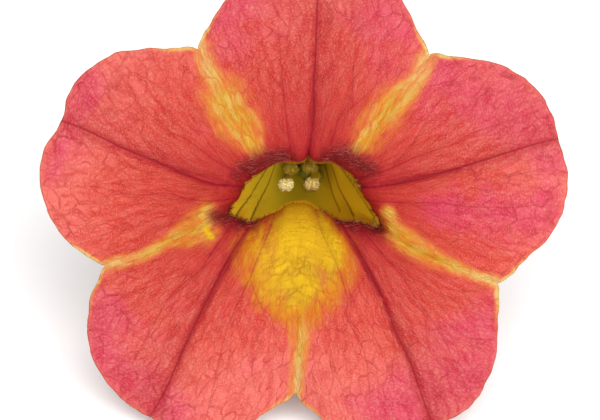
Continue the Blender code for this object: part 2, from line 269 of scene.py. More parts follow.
# The veins as they run on the lobes and in the throat. Each kind has the widths where it starts and ends.
RIB, SIDE, BRANCH, TWIG, FAINT = (0.19, 0.13), (0.13, 0.08), (0.10, 0.06), (0.09, 0.06), (0.08, 0.03)
THROAT_LINE, THROAT_FAINT = (0.16, 0.10), (0.14, 0.08)
LOBE_VEINS = (
    (RIB, (0.25, 2.3), (0.5, 5.15), (0.58, 7.1), (0.72, 10), (0.82, 12.9), (0.86, 15.9)),
    (SIDE, (-0.9, 2.6), (-1.13, 4.2), (-1.24, 5.2), (-1.45, 6.9), (-1.57, 8.6), (-1.75, 11)),
    (BRANCH, (-1.45, 6.9), (-2.1, 7.8), (-3.25, 9.05), (-4.2, 10.6), (-4.6, 11.8)),
    (TWIG, (-1.1, 3.7), (-2, 5.2), (-2.8, 6.8), (-3.7, 8), (-4.7, 9.1)),
    (SIDE, (1.45, 2.6), (1.85, 3.8), (2.2, 4.9), (2.65, 5.8), (3.1, 6.8), (3.25, 9), (3.6, 12)),
    (BRANCH, (2.4, 5.2), (3.7, 6.3), (4.8, 7.4), (5.9, 8.8), (6.6, 10.2)),
    (FAINT, (0.6, 6.9), (1.3, 7.8), (1.8, 8.8), (2.8, 9.9), (3.1, 11.3), (3, 13.2)),
    (TWIG, (0.66, 8.9), (-0.2, 10.1), (-0.6, 11.7), (-0.9, 13.6)),
    (RIB, (-4, 0.55), (-6, 0.74), (-7.8, 1.36), (-9.6, 2.07), (-12.26, 3.18), (-14.5, 4.3), (-16.4, 5)),
    (SIDE, (-3.7, 1.15), (-4.7, 1.63), (-6, 2.34), (-6.95, 3.05), (-8, 3.76), (-9.06, 4.3), (-11.3, 6.3)),
    (BRANCH, (-9.6, 2.07), (-10.3, 3), (-10.9, 4), (-11.5, 5.3), (-13, 6.9)),
    (TWIG, (-9.06, 4.3), (-9.24, 5.4), (-9.9, 6.7), (-10.5, 8)),
    (TWIG, (-5.2, 1.9), (-6.5, 3.6), (-7.4, 5), (-8, 6.4), (-8.4, 8.4)),
    (SIDE, (-4.6, -0.2), (-6.04, -0.42), (-7.8, -0.25), (-9.15, 0.11), (-11.37, 0), (-13.6, 0.5),
     (-15.2, 0.6)),
    (BRANCH, (-7.8, -0.25), (-9.9, -0.5), (-11.2, -1.49), (-12.8, -2.2), (-14.2, -2.5)),
    (TWIG, (-6, -0.42), (-7.6, -1.1), (-9.4, -1.9), (-11.4, -3)),
    (RIB, (3.5, 0.5), (4.98, 0.6), (9, 1.44), (12.2, 2.41), (14.6, 3.17), (16.8, 3.75)),
    (SIDE, (3.35, 1.1), (4.98, 1.5), (6.6, 2.16), (7.8, 2.69), (9.97, 3.41), (11, 4.06), (13.8, 5),
     (15.3, 5.5)),
    (BRANCH, (5.8, 1.81), (7.3, 3.7), (8.3, 5.3), (9.6, 7.3), (10.4, 8.6)),
    (TWIG, (7.8, 2.69), (9.4, 4.4), (10.9, 5.9), (12.4, 7.2)),
    (SIDE, (3.9, -0.3), (5.1, -0.44), (6.9, -0.52), (9, -0.55), (11.1, -0.8), (14.3, -0.8), (16, -0.5)),
    (BRANCH, (6.9, -0.52), (9.3, -1.7), (11.3, -2.5), (13.4, -3.6)),
    (TWIG, (9, -0.55), (11, 0.4), (13.2, 1.1), (15.6, 1.7)),
    (RIB, (-3.45, -1.7), (-4.03, -2.57), (-5.2, -4.6), (-6.66, -7.34), (-8.12, -10.27), (-9.1, -12.6),
     (-10.4, -14.9)),
    (SIDE, (-4.6, -1.6), (-5.1, -2.28), (-6.37, -4.13), (-7.05, -5.1), (-8.12, -5.9), (-9.1, -6.9),
     (-10.3, -9.1), (-11.6, -11.4)),
    (BRANCH, (-7.05, -5.1), (-9, -5.6), (-11, -6.3), (-12.8, -6.7)),
    (TWIG, (-5.7, -5.5), (-7.6, -7.4), (-8.9, -9.3), (-9.9, -11.5), (-11, -13.2)),
    (SIDE, (-2, -1.1), (-2.38, -2.4), (-3.1, -4.1), (-3.64, -5.5), (-4.7, -7.7), (-5.35, -9.5),
     (-5.9, -11.9), (-6.4, -14)),
    (BRANCH, (-3.64, -5.6), (-2.96, -7.3), (-2.28, -8.1), (-1.99, -9.3), (-1.9, -10.8)),
    (TWIG, (-4.7, -7.7), (-4.3, -9.4), (-3.7, -11), (-3.3, -13)),
    (RIB, (2.2, -1.6), (3.01, -2.85), (4.04, -4.8), (5.06, -6.76), (6.08, -9.18), (7.02, -11.2),
     (7.76, -13.3), (8.5, -15.4)),
    (SIDE, (3.1, -1.6), (3.94, -2.48), (5.34, -4.15), (6.36, -5.27), (7.1, -6.48), (8.6, -8.6), (9.8, -10.7),
     (10.6, -12.6)),
    (BRANCH, (5.34, -4.15), (7, -5.4), (8.3, -6.1), (10.5, -7.3), (12.2, -8)),
    (TWIG, (5.06, -6.76), (5.9, -9.65), (5.8, -11.5), (5.4, -13.3)),
    (TWIG, (8.6, -8.6), (9.9, -8.9), (11.4, -10.2)),
    (SIDE, (0.73, -1.1), (1.15, -2.57), (1.71, -3.7), (2.26, -5), (2.8, -6.85), (2.85, -8.25), (3.85, -10.2),
     (4.2, -11.9), (4.3, -13.6)),
    (BRANCH, (4.13, -5.27), (3.48, -6.1), (2.85, -6.9)),
    (TWIG, (2.85, -8.25), (2, -9.6), (1.7, -11.1), (2, -12.8)),
)
THROAT_VEINS = (
    (THROAT_LINE, (-3.6, -1.9), (-2.97, -0.9), (-1.94, 0.59), (-1.38, 1.3)),
    (THROAT_LINE, (-4.6, -1.5), (-3.8, -0.72), (-3.06, 0.31), (-2.22, 1.43), (-1.8, 1.9)),
    (THROAT_LINE, (-4, 0.5), (-3, 1.2), (-2.2, 1.75)),
    (THROAT_FAINT, (-1.4, -0.6), (-1.29, 0.22), (-1.1, 0.9)),
    (THROAT_LINE, (2.3, -1.7), (1.69, -0.9), (0.95, 0.31), (0.6, 1.2)),
    (THROAT_LINE, (3.2, -1.7), (2.53, -0.81), (1.41, 0.78), (1, 1.45)),
    (THROAT_LINE, (4.6, -1.7), (3.6, -0.3), (2.6, 0.8), (1.8, 1.9)),
    (THROAT_LINE, (3.5, 0.5), (2.7, 1.2), (2, 1.8)),
    (THROAT_FAINT, (0.2, 2.5), (0.1, 1.9), (0, 1.4)),
)
VEIN_STEP = 0.08
VEIN_GROOVE, VEIN_GROOVE_WIDTH = 0.05, 0.15
VEIN_PUFF, VEIN_PUFF_WIDTH = 0.11, 0.6
RIB_GROOVE, RIB_GROOVE_WIDTH = 0.07, 0.13
STRONG_VEIN = 0.06  # half the width of a vein that has the whole groove
THROAT_GROOVE, THROAT_GROOVE_WIDTH, THROAT_PUFF, THROAT_PUFF_WIDTH = 0.16, 0.13, 0.22, 0.35
ROOF_DIP, ROOF_MIDDLE, ROOF_HALF_WIDTH = 0.6, 0.2, 1.8  # how far the throat's upper wall hangs down inside
RED_LIP = 0.6  # how far the red of the upper lobes runs down into the mouth
LIP_PUFFS = ((-0.45, 2.75, 0.55), (0.95, 2.75, 0.55))  # x, y and radius of the swellings beside the top rib
LIP_PUFF_HEIGHT = 0.32
SWELLS, SWELLS_PER_MM = 0.10, 0.55
PUCKERS, PUCKERS_PER_MM = 0.045, 1.7
FAR_FROM_EDGE = 20.0  # stands for the whole throat
# The painted shade beside the ribs: how far it reaches, and over how far from the throat it widens
RIB_SHADE_WIDTH, THROAT_SHADE_REACH = 0.26, 4.0  # as a share of the half lobe, and in millimetres
NOTCH_YELLOW = 1.1
NOTCH_WALL, NOTCH_WALL_RADIUS = 0.3, 0.7  # the wall is thinner where the top rib runs into the mouth
FAN_WIDTH = 5.0  # of one spoke on the fan map, in millimetres, as on the limb 8 mm from its middle
FAN_LENGTH, FAN_BEND = 13.0, 0.2  # the map's lines leave the ribs and bend outwards over this length


def smooth_line(points, step):
    """Points about a step apart on a smooth curve through the given ones."""
    ends = [Vector(p) for p in points]
    ends = [2 * ends[0] - ends[1], *ends, 2 * ends[-1] - ends[-2]]
    line = []
    for a, b, c, d in zip(ends, ends[1:], ends[2:], ends[3:]):
        count = max(round((c - b).length / step), 1)
        for k in range(count):
            line.append(curve_between(a, b, c, d, k / count))
    return [*line, ends[-2]]


def heading(line, k):
    """The way a line runs at its point k."""
    return line[min(k + 1, len(line) - 1)] - line[max(k - 1, 0)]


class VeinMap:
    """Finds the nearest vein: the signed and the plain distance to its middle, and its half width there."""

    def __init__(self, veins):
        self.samples = []
        for (starts, ends), *points in veins:
            line = smooth_line(points, VEIN_STEP)
            for k, here in enumerate(line):
                width = starts + (ends - starts) * k / len(line)
                self.samples.append((here, heading(line, k).normalized(), width / 2))
        self.tree = KDTree(len(self.samples))
        for index, sample in enumerate(self.samples):
            self.tree.insert(sample[0].to_3d(), index)
        self.tree.balance()

    def nearest(self, flat):
        found, index, distance = self.tree.find(flat.to_3d())
        here, along, half = self.samples[index]
        return along.cross(flat - here), distance, half


# Where the colours lie, each patch as a line of soft discs: x, y, radius
YELLOW_STAR = (
    (
        (-6.85, 9.8, 0.45), (-6.4, 8.2, 0.5), (-5.5, 6.6, 1.05), (-4.7, 5.2, 1.1), (-4.1, 4.3, 0.9),
        (-3.2, 3, 0.4),
    ),
    ((8.1, 9.1, 0.5), (7.5, 7.8, 0.5), (6, 6.3, 0.8), (5, 5, 0.85), (4.2, 3.9, 0.75), (3.4, 3.1, 0.35)),
    (
        (-13.3, -4.7, 0.38), (-10.8, -4.05, 0.3), (-9.1, -3.1, 0.35), (-7.8, -2.6, 0.65), (-6.9, -2.1, 0.9),
        (-6.6, -1, 0.5),
    ),
    (
        (12.6, -5.8, 0.38), (11.4, -5.4, 0.3), (9.7, -4.7, 0.38), (8.3, -4.1, 0.5), (6.9, -3.2, 0.6),
        (5.9, -2.4, 0.55), (5.5, -1.1, 0.35),
    ),
    ((-0.3, -6.9, 0.9), (-0.3, -8.6, 0.6), (-0.4, -10.4, 0.42), (-0.5, -12, 0.38), (-0.6, -13, 0.42)),
)
YELLOW_PALATE = (
    ((-0.4, -0.3, 1.4), (-0.45, -2.4, 1.85), (-0.65, -4, 2.3), (-0.7, -4.8, 2.4), (-0.55, -5.9, 1.5)),
    ((1, -1.8, 0.5), (1.6, -3.2, 0.7), (1.8, -4.4, 0.7)),
    ((-6.6, -2.1, 0.16), (-6.45, -2.5, 0.22), (-6.2, -2.8, 0.2)),
)
ORANGE_MARGIN = (
    ((-3.2, -2.1, 0.5), (-3.9, -3.4, 0.85), (-3.6, -4.9, 0.85), (-2.7, -6.6, 0.8), (-1, -7.9, 0.8)),
    ((0.4, -7.9, 0.8), (1.6, -6.6, 0.8), (2.6, -5.2, 0.8), (2.4, -3.6, 0.8), (1.6, -1.9, 0.6)),
)
BURGUNDY = (
    ((-4.5, 1.45, 0.5), (-2.9, 2.2, 0.8), (-1.1, 2.75, 0.5)),
    ((1.4, 2.75, 0.45), (2.9, 2.5, 0.85), (4.5, 1.6, 0.5)),
    ((-6, -1.4, 0.5), (-4.8, -1.7, 0.65), (-3.5, -1.9, 0.5)),
    ((2.2, -1.8, 0.4), (3.6, -2.15, 0.6), (4.9, -2.35, 0.5)),
)
PINK = (
    ((9.5, 8, 2.6), (13, 6.6, 2.6), (16, 3, 1.8)),
    ((-5, 11.5, 2.2), (-3.5, 14.5, 2)),
    ((4.5, 13.5, 2), (6.3, 11, 2.2)),
    ((-14.2, 7.2, 1.1), (-15.6, 5.2, 1), (-16.6, 1.5, 0.8)),
    ((-13.4, -8, 1.8), (-12.6, -11.6, 2.2), (-9, -14.3, 1.8)),
    ((5.5, -14.4, 2.2), (9.5, -13.2, 3.2), (12, -9.6, 2.8)),
    # This patch below the right lobe's rib is partly pink and partly painted shade beside the rib.
    ((8.5, -0.6, 1), (12.5, -1.2, 1.8), (16, -0.8, 1.6)),
)


def patch(lines, flats):
    """How deep each flat place lies in the patches: 0 outside, 1 on their middle lines."""
    inside = np.zeros(len(flats))
    for line in lines:
        for (ax, ay, ar), (bx, by, br) in zip(line, line[1:]):
            a, ab = np.array((ax, ay)), np.array((bx - ax, by - ay))
            t = np.clip((flats - a) @ ab / (ab @ ab), 0, 1)
            distance = np.linalg.norm(flats - a - t[:, None] * ab, axis=1)
            inside = np.maximum(inside, 1 - distance / (2 * (ar + (br - ar) * t)))
    return np.clip(inside, 0, 1)


def wrapped_sheet(columns, rows, place):
    """A grid rolled into a sleeve: place(column, row) gives each vertex, and the side edges are joined."""
    bm = bmesh.new()
    bmesh.ops.create_grid(bm, x_segments=columns, y_segments=rows, size=0.5)
    cell = bm.verts.layers.float_vector.new("cell")
    for vertex in bm.verts:
        column, row = round((vertex.co.x + 0.5) * columns) % columns, round((vertex.co.y + 0.5) * rows)
        vertex[cell] = (column, row, 0)
        vertex.co = place(column, row)
    bmesh.ops.remove_doubles(bm, verts=bm.verts, dist=1e-5)
    bmesh.ops.recalc_face_normals(bm, faces=bm.faces)
    return bm


def column_of(step):
    """The column at a step round the corolla, closer together at ribs and seams."""
    even = step / COLUMNS_PER_SPOKE
    return even - COLUMN_CROWDING / (2 * math.pi) * math.sin(2 * math.pi * even)


columns = COLUMNS_PER_SPOKE * len(SPOKES)
rows = TUBE_ROWS + LIP_ROWS + LIMB_ROWS
petals = wrapped_sheet(columns, rows, lambda i, row: corolla_point(column_of(i), row)[0])
cell = petals.verts.layers.float_vector["cell"]
if sum(face.normal.z for face in petals.faces) < 0:
    bmesh.ops.reverse_faces(petals, faces=petals.faces)
petals.normal_update()

lobe_veins, throat_veins = VeinMap(LOBE_VEINS), VeinMap(THROAT_VEINS)
vein_layer = petals.verts.layers.float_vector.new("vein")
run_layer = petals.verts.layers.float_vector.new("run")
petals.verts.ensure_lookup_table()
moved = []
for vertex in petals.verts:
    column, row = column_of(vertex[cell].x), round(vertex[cell].y)
    flat = vertex.co.xy
    along = corolla_point(column, row)[1]
    veins = lobe_veins if row > TUBE_ROWS else throat_veins
    side, distance, half = veins.nearest(flat)
    vertex[vein_layer] = (side, distance, half)
    to_edge = (edge_outline(column) - flat).length if row > TUBE_ROWS else FAR_FROM_EDGE
    vertex[run_layer] = (max(-vertex.co.z, 0), to_edge, along + RED_LIP * ease(flat.y, 0.9, 1.9))
    lift = -VEIN_GROOVE * half / STRONG_VEIN * mound(distance, VEIN_GROOVE_WIDTH)
    lift += VEIN_PUFF * (1 - math.exp(-distance / VEIN_PUFF_WIDTH))
    lift += SWELLS * noise.noise(Vector((*flat, 0)) * SWELLS_PER_MM)
    lift += PUCKERS * noise.noise(Vector((*flat, 5)) * PUCKERS_PER_MM)
    off_rib = abs(lobe_place(column)[1]) * 0.5 * max(along, 1.0)
    lift -= RIB_GROOVE * math.exp(-off_rib / RIB_GROOVE_WIDTH) * ease(to_edge, 0, 1.5)
    lift *= ease(along, 0.5, 4.0)
    if row <= TUBE_ROWS:
        lift = THROAT_PUFF * (1 - math.exp(-distance / THROAT_PUFF_WIDTH))
        lift -= THROAT_GROOVE * mound(distance, THROAT_GROOVE_WIDTH)
        lift *= ease(along, -8.0, -5.0) * ease(along, 0.0, -0.8)
        if flat.y > 0:
            hanging = mound(flat.x - ROOF_MIDDLE, ROOF_HALF_WIDTH, 4) * ease(flat.y, 0.5, 1.5)
            lift += ROOF_DIP * hanging * ease(along, 0.0, -2.6) * ease(along, -12.0, -7.0)
    for x, y, radius in LIP_PUFFS:
        swollen = mound((flat - Vector((x, y))).length, radius)
        lift += LIP_PUFF_HEIGHT * swollen * ease(vertex.co.z, -3.0, -1.0)
    moved.append(vertex.normal * lift)
flats = np.array([vertex.co.xy for vertex in petals.verts])
for vertex, move in zip(petals.verts, moved):
    vertex.co += move

star, palate, orange, burgundy, first_tint = (
    patch(lines, flats) for lines in (YELLOW_STAR, YELLOW_PALATE, ORANGE_MARGIN, BURGUNDY, PINK)
)
zone_layer = petals.verts.layers.float_vector.new("zones")
tint_and_shade_layer = petals.verts.layers.float_vector.new("tints_and_shade")
wall_layer = petals.verts.layers.deform.new()
for k, vertex in enumerate(petals.verts):
    on_lobe = vertex[cell].y > TUBE_ROWS
    depth, to_edge, along = vertex[run_layer]
    rib, across = lobe_place(column_of(vertex[cell].x))
    notch = (1 - ease(1 - abs(across), 0.02, 0.40)) * (1 - ease(to_edge, 0.08, 0.50))
    vertex[zone_layer] = (max(star[k], NOTCH_YELLOW * notch) * on_lobe, palate[k], burgundy[k] * on_lobe)
    # Painted shade beside each rib's crease: on one side of the ribs of the side and lower lobes, on both
    # sides of the top rib, fading away from the rib and wider near the throat.
    sides = {RIGHT_LOBE: across, LOW_RIGHT_LOBE: across, LEFT_LOBE: -across, LOW_LEFT_LOBE: -across}
    shaded_side = sides.get(rib % len(SPOKES), abs(across) * 0.8)
    shade_width = RIB_SHADE_WIDTH * (1 + 1.3 * math.exp(-max(along, 0) / THROAT_SHADE_REACH))
    shade = math.exp(-shaded_side / shade_width) if shaded_side > 0 else math.exp(20 * shaded_side)
    # Painted shade in the throat: darker towards its right wall and its roof. On the lobes the first tint
    # holds the pink; in the throat it holds this shade.
    painted_throat_shade = max(ease(vertex.co.x, 0.0, 2.2), ease(vertex.co.y, 0.8, 2.2))
    vertex[tint_and_shade_layer] = (first_tint[k] if on_lobe else painted_throat_shade, orange[k] * on_lobe, shade * on_lobe)
    at_notch = mound((vertex.co.xy - Vector(MOUTH_TOP)).length, NOTCH_WALL_RADIUS) * (vertex.co.z > -4)
    thinned = PETAL_EDGE + (1 - PETAL_EDGE) * ease(to_edge, 0, 0.8)
    vertex[wall_layer][0] = thinned * (1 - (1 - NOTCH_WALL) * at_notch)

fan = petals.loops.layers.uv.new("fan")
for face in petals.faces:
    steps = [loop.vert[cell].x for loop in face.loops]
    wraps = max(steps) - min(steps) > columns / 2
    for loop, step in zip(face.loops, steps):
        turned = step + columns if wraps and step < columns / 2 else step
        along = loop.vert[run_layer].z
        rib, across = lobe_place(column_of(turned))
        spread = min(max(along / FAN_LENGTH, 0.1), 1) ** -FAN_BEND - 1
        loop[fan].uv = ((rib + across * (1 + spread * (1 - abs(across)))) * FAN_WIDTH, along)
for vertex in petals.verts:
    vertex.co = lay(vertex.co)
petals.normal_update()


def put_in_order(bm):
    """Sorts a mesh by place, since an extrusion gives its sides in another order on each run."""
    def place(item):
        ends = getattr(item, "verts", [item])
        return sum((vertex.co for vertex in ends), Vector())[:]

    for items in (bm.verts, bm.edges, bm.faces):
        for k, item in enumerate(sorted(items, key=place)):
            item.index = k
        items.sort()
        items.index_update()


def linked(name, data):
    made = bpy.data.objects.new(name, data)
    bpy.context.scene.collection.objects.link(made)
    return made


def piece(bm, name, replaced, slot, *materials):
    """Makes the finished piece of a bmesh in millimetres, riding with the bloom."""
    put_in_order(bm)
    bmesh.ops.scale(bm, vec=(MM, MM, MM), verts=bm.verts)
    mesh = bpy.data.meshes.new(name)
    bm.to_mesh(mesh)
    bm.free()
    mesh.shade_smooth()
    for material in materials:
        mesh.materials.append(material)
    made = linked(name, mesh)
    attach(made, "root")
    if replaced:
        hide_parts(replaced)
    return made


STUDIO = 1.5  # how much brighter than its own colour a surface that faces the camera comes out


def paint(code):
    """The linear colour that comes out as an sRGB code in the studio's light."""
    channels = [int(code[k : k + 2], 16) / 255 for k in (0, 2, 4)]
    linear = [((c + 0.055) / 1.055) ** 2.4 if c > 0.04045 else c / 12.92 for c in channels]
    return (*[c / STUDIO for c in linear], 1)


class Finish:
    """A material in the making, with a short method for each kind of node."""

    def __init__(self, name):
        self.material = bpy.data.materials.new(name)
        self.material.use_nodes = True
        self.tree = self.material.node_tree
        self.shader = self.tree.nodes["Principled BSDF"]

    def add(self, kind, inputs, output=0, **settings):
        """Adds a node, feeds its inputs with values or other nodes' outputs, and gives its output."""
        node = self.tree.nodes.new("ShaderNode" + kind)
        for name, value in settings.items():
            setattr(node, name, value)
        for key, value in inputs.items():
            if isinstance(value, bpy.types.NodeSocket):
                self.tree.links.new(value, node.inputs[key])
            else:
                node.inputs[key].default_value = value
        return node.outputs[output]

    def calc(self, operation, *values):
        return self.add("Math", dict(enumerate(values)), operation=operation)

    def times(self, value, factor, *plus):
        """The value times the factor, plus a third value where one is given."""
        return self.calc("MULTIPLY_ADD" if plus else "MULTIPLY", value, factor, *plus)

    def rise(self, value, start, end):
        """0 below start, 1 above end and smooth between; it falls where start is above end."""
        if start > end:
            return self.calc("SUBTRACT", 1.0, self.rise(value, end, start))
        inputs = {"Value": value, "From Min": start, "From Max": end}
        return self.add("MapRange", inputs, interpolation_type="SMOOTHSTEP")

    def mix(self, share, under, over):
        return self.add("Mix", {0: share, 6: under, 7: over}, 2, data_type="RGBA")

    def coat(self, under, over, share, strength):
        return self.mix(self.times(share, strength), under, over)

    def object_place(self):
        return self.add("TexCoord", {}, "Object")

    def read(self, name):
        """The three parts of a stored attribute."""
        vector = self.add("Attribute", {}, "Vector", attribute_name=name)
        split = self.tree.nodes.new("ShaderNodeSeparateXYZ")
        self.tree.links.new(vector, split.inputs[0])
        return split.outputs

    def stretch(self, place, scale):
        return self.add("Mapping", {"Vector": place, "Scale": scale})

    def noise(self, place, scale, detail=2.0, output=0):
        return self.add("TexNoise", {"Vector": place, "Scale": scale, "Detail": detail}, output)

    def streaks(self, place, across, along, detail):
        return self.noise(self.stretch(place, (across, along, 1)), 1.0, detail)

    def shaky(self, place, scale, amount):
        """The place, pushed about by a noise."""
        push = {0: self.noise(place, scale, output=1), 1: (0.5, 0.5, 0.5)}
        push = self.add("VectorMath", push, operation="SUBTRACT")
        push = self.add("VectorMath", {0: push, "Scale": amount}, operation="SCALE")
        return self.add("VectorMath", {0: place, 1: push}, operation="ADD")

    def net(self, place, feature="DISTANCE_TO_EDGE", output=0):
        """The distance to the nearest thread of a net; with F1 and Color, a value for each mesh of it."""
        inputs = {"Vector": place, "Scale": 1.0, "Randomness": 0.9}
        return self.add("TexVoronoi", inputs, output, feature=feature)

    def bump(self, height, distance):
        bumped = self.add("Bump", {"Height": height, "Distance": distance, "Strength": 1.0})
        self.tree.links.new(bumped, self.shader.inputs["Normal"])

    def feed(self, **inputs):
        """Sets the shader's own sockets; an underscore stands for a space."""
        for key, value in inputs.items():
            socket = self.shader.inputs[key.replace("_", " ")]
            if isinstance(value, bpy.types.NodeSocket):
                self.tree.links.new(value, socket)
            else:
                socket.default_value = value

    def let_light_through(self, share, colour):
        """Mixes in light that comes from behind a thin wall."""
        through = self.add("BsdfTranslucent", {"Color": colour})
        mixed = self.add("MixShader", {0: share, 1: self.shader.outputs[0], 2: through})
        self.tree.links.new(mixed, self.tree.nodes["Material Output"].inputs["Surface"])


NEAR_RED, MID_RED, CORAL, OUTER_CORAL = map(paint, ("B81A0C", "D8341E", "E84432", "FF766C"))
# The pale cell colour serves the cells' paler middles, a painted highlight on the domed cells, a painted
# sparkle and pale hair streaks.
PINK_TINT, CELL_PALE_AND_HIGHLIGHT, THREAD, RIM = map(paint, ("E42A6E", "FFA28E", "B41C20", "F29A70"))
# The rib shade colour is painted shade, beside the rib creases and round the stronger veins.
RIB_DARK, RIB_SHADE, VEIN_RED = map(paint, ("900A1A", "BE162C", "A4161C"))
STAR, STAR_PALE, STAR_WARM, STAR_THREAD = map(paint, ("DEAC1A", "F0D884", "EC7E34", "C85A14"))
# The palate's deep gold is painted shade; its thread colour serves both real threads and painted shade.
PALATE, PALATE_SHADE, PALATE_THREAD_AND_SHADE, ORANGE = map(paint, ("F4C010", "C48A08", "A86C08", "DE7808"))
BURGUNDY_DARK, BURGUNDY_RED = map(paint, ("760C12", "A41822"))
# The throat's yellow, lit at the mouth and darker with depth: painted shade deep in the tube.
THROAT_LIT, THROAT_MID, THROAT_DEEP_SHADE = map(paint, ("FFC818", "F0B010", "A08C0A"))
# The dusky throat colour is painted shade on the throat's right wall and roof.
THROAT_PAINTED_SHADE, THROAT_STRIPE = map(paint, ("865C04", "3C1A04"))
BACK_CORAL, BACK_GREEN = map(paint, ("F0A48E", "D6CC84"))
# What shines through the wall from behind it
THROUGH_OUTSIDE, THROUGH_TUBE = (1.0, 0.90, 0.60, 1), (1.0, 0.73, 0.05, 1)
# The deep light let through is painted shade deep in the tube.
THROUGH_DEEP_SHADE, THROUGH_STRIPE = (0.76, 0.58, 0.03, 1), (0.20, 0.08, 0.01, 1)
THROUGH_PAINTED_SHADE = (0.62, 0.34, 0.01, 1)
THROUGH_LOBE = 0.2  # share of the light that comes through
THROUGH_THROAT, THROUGH_THROAT_BACK = 0.72, 0.5  # what the throat adds to it
NET_SCALES = (2.3, 0.7), (6.0, 2.2), (12.0, 5.0)  # meshes across and along the lobe: coarse, middle and fine
PETAL_GRAIN = 0.00006  # metres


def petal_finish(name, seen_from_front):
    """Petal tissue: coral between a net of redder veinlets, with pink, yellow and burgundy marks."""
    f = Finish(name)
    uv = f.add("UVMap", {}, uv_map="fan")
    star, palate, burgundy = f.read("zones")
    # The first tint is the pink on the lobes and painted shade in the throat; the third is painted shade
    # beside the ribs.
    first_tint, orange, shade = f.read("tints_and_shade")
    side, distance, half = f.read("vein")
    depth, to_edge, along = f.read("run")

    # The net
    wobbly = f.shaky(f.shaky(uv, 0.5, 0.6), 2.4, 0.14)
    coarse, middle, fine = (f.net(f.stretch(wobbly, (*scale, 1))) for scale in NET_SCALES)
    mesh_value = f.net(f.stretch(wobbly, (*NET_SCALES[1], 1)), "F1", "Color")
    grain = f.noise(uv, 11.0, 3.0)
    patchy = f.noise(uv, 0.5, 3.0)
    fibre = f.streaks(wobbly, 3.4, 0.7, 3.0)
    broken = f.rise(f.noise(uv, 1.0, 2.0), 0.35, 0.65)
    outer = f.rise(along, 0.0, 10.0)
    coarse_thread = f.times(f.rise(coarse, 0.13, 0.0), f.times(broken, 0.5, 0.4))
    middle_thread = f.times(f.rise(middle, 0.15, 0.0), f.times(broken, -0.4, 0.6))
    fine_thread = f.times(f.rise(fine, 0.3, 0.0), 0.3)
    thread = f.calc("MAXIMUM", coarse_thread, f.calc("MAXIMUM", middle_thread, fine_thread))
    swell = f.times(f.rise(middle, 0.0, 0.5), f.times(f.rise(fine, 0.0, 0.4), 0.3, 0.7))

    # The red of the lobes, paler and pinker outwards
    reach = f.times(patchy, 4.0, f.calc("SUBTRACT", along, 2.0))
    colour = NEAR_RED
    for start, end, paler in ((1.5, 6.5, MID_RED), (5.5, 11.0, CORAL), (9.0, 14.5, OUTER_CORAL)):
        colour = f.mix(f.rise(reach, start, end), colour, paler)
    pinkness = f.rise(f.calc("ADD", first_tint, f.times(patchy, 1.6, -0.8)), 0.1, 1.0)
    colour = f.coat(colour, PINK_TINT, pinkness, 0.75)
    # Painted shade beside the rib creases
    colour = f.coat(colour, RIB_SHADE, shade, 0.65)
    # Paler cell middles, partly their own colour and partly a painted highlight on the domed cells; the fine
    # grain adds a painted sparkle beside dark specks.
    light = f.times(swell, 0.45, f.times(fibre, 1.0, -0.35))
    for over, share, strength in (
        (CELL_PALE_AND_HIGHLIGHT, light, f.times(outer, 0.68, 0.02)),
        (THREAD, thread, f.times(outer, 0.2, 0.55)),
        (THREAD, f.rise(fibre, 0.54, 0.32), f.times(outer, 0.1, 0.15)),
        (CELL_PALE_AND_HIGHLIGHT, f.rise(grain, 0.48, 0.75), f.times(outer, 0.3, 0.08)),
        (THREAD, f.rise(grain, 0.5, 0.2), 0.3),
        (RIM, f.rise(to_edge, 0.3, 0.05), 0.22),
    ):
        colour = f.coat(colour, over, share, strength)

    # The yellow star on the seams, streaked and warm at its margin
    blotch = f.streaks(wobbly, 1.3, 0.6, 3.0)
    ragged = f.times(thread, -0.15, f.times(blotch, 1.2, f.times(mesh_value, 0.1, -0.66)))
    yellow = f.times(ragged, f.rise(star, 0.0, 0.6), star)
    warmed = f.rise(yellow, -0.05, 0.55)
    stripy = f.streaks(wobbly, 2.6, 0.5, 2.0)
    yellow = f.times(f.rise(yellow, 0.1, 0.9), f.times(f.rise(stripy, 0.35, 0.55), 0.4, 0.6))
    pale = f.calc("MAXIMUM", f.rise(to_edge, 5.0, 0.5), f.times(f.rise(stripy, 0.45, 0.65), 0.45))
    yellows = f.coat(f.mix(pale, STAR, STAR_PALE), STAR_WARM, f.rise(stripy, 0.5, 0.3), 0.5)
    yellows = f.coat(yellows, STAR_THREAD, thread, 0.6)
    colour = f.coat(colour, STAR_WARM, warmed, 0.65)
    colour = f.coat(colour, yellows, yellow, 0.92)

    # The golden palate with its fine creases and low blisters, in an orange margin. Painted shade darkens it
    # towards the mouth, along the creases and in the broad valleys between the blisters.
    warm = f.rise(f.times(ragged, f.rise(orange, 0.0, 0.6), orange), 0.05, 0.8)
    margin = f.mix(f.rise(f.times(fibre, 0.8, f.times(swell, 0.2)), 0.35, 0.8), ORANGE, STAR)
    colour = f.coat(colour, f.coat(margin, THREAD, thread, 0.4), warm, 0.85)
    bright = f.rise(f.times(ragged, f.times(f.rise(palate, 0.0, 0.4), 0.5), palate), 0.16, 0.74)
    # Painted shade: darker towards the mouth, in patches
    gold = f.mix(f.rise(f.times(f.noise(uv, 1.1, 3.0), 3.0, along), 1.5, 6.5), PALATE_SHADE, PALATE)
    wrinkles = f.streaks(wobbly, 0.5, 6.0, 2.0)
    # Painted shade along the fine wrinkles near the mouth
    gold = f.coat(gold, PALATE_SHADE, f.rise(wrinkles, 0.55, 0.2), f.rise(along, 8.0, 1.0))
    blisters = f.net(f.shaky(f.stretch(wobbly, (0.9, 1.5, 1)), 2.0, 0.5))
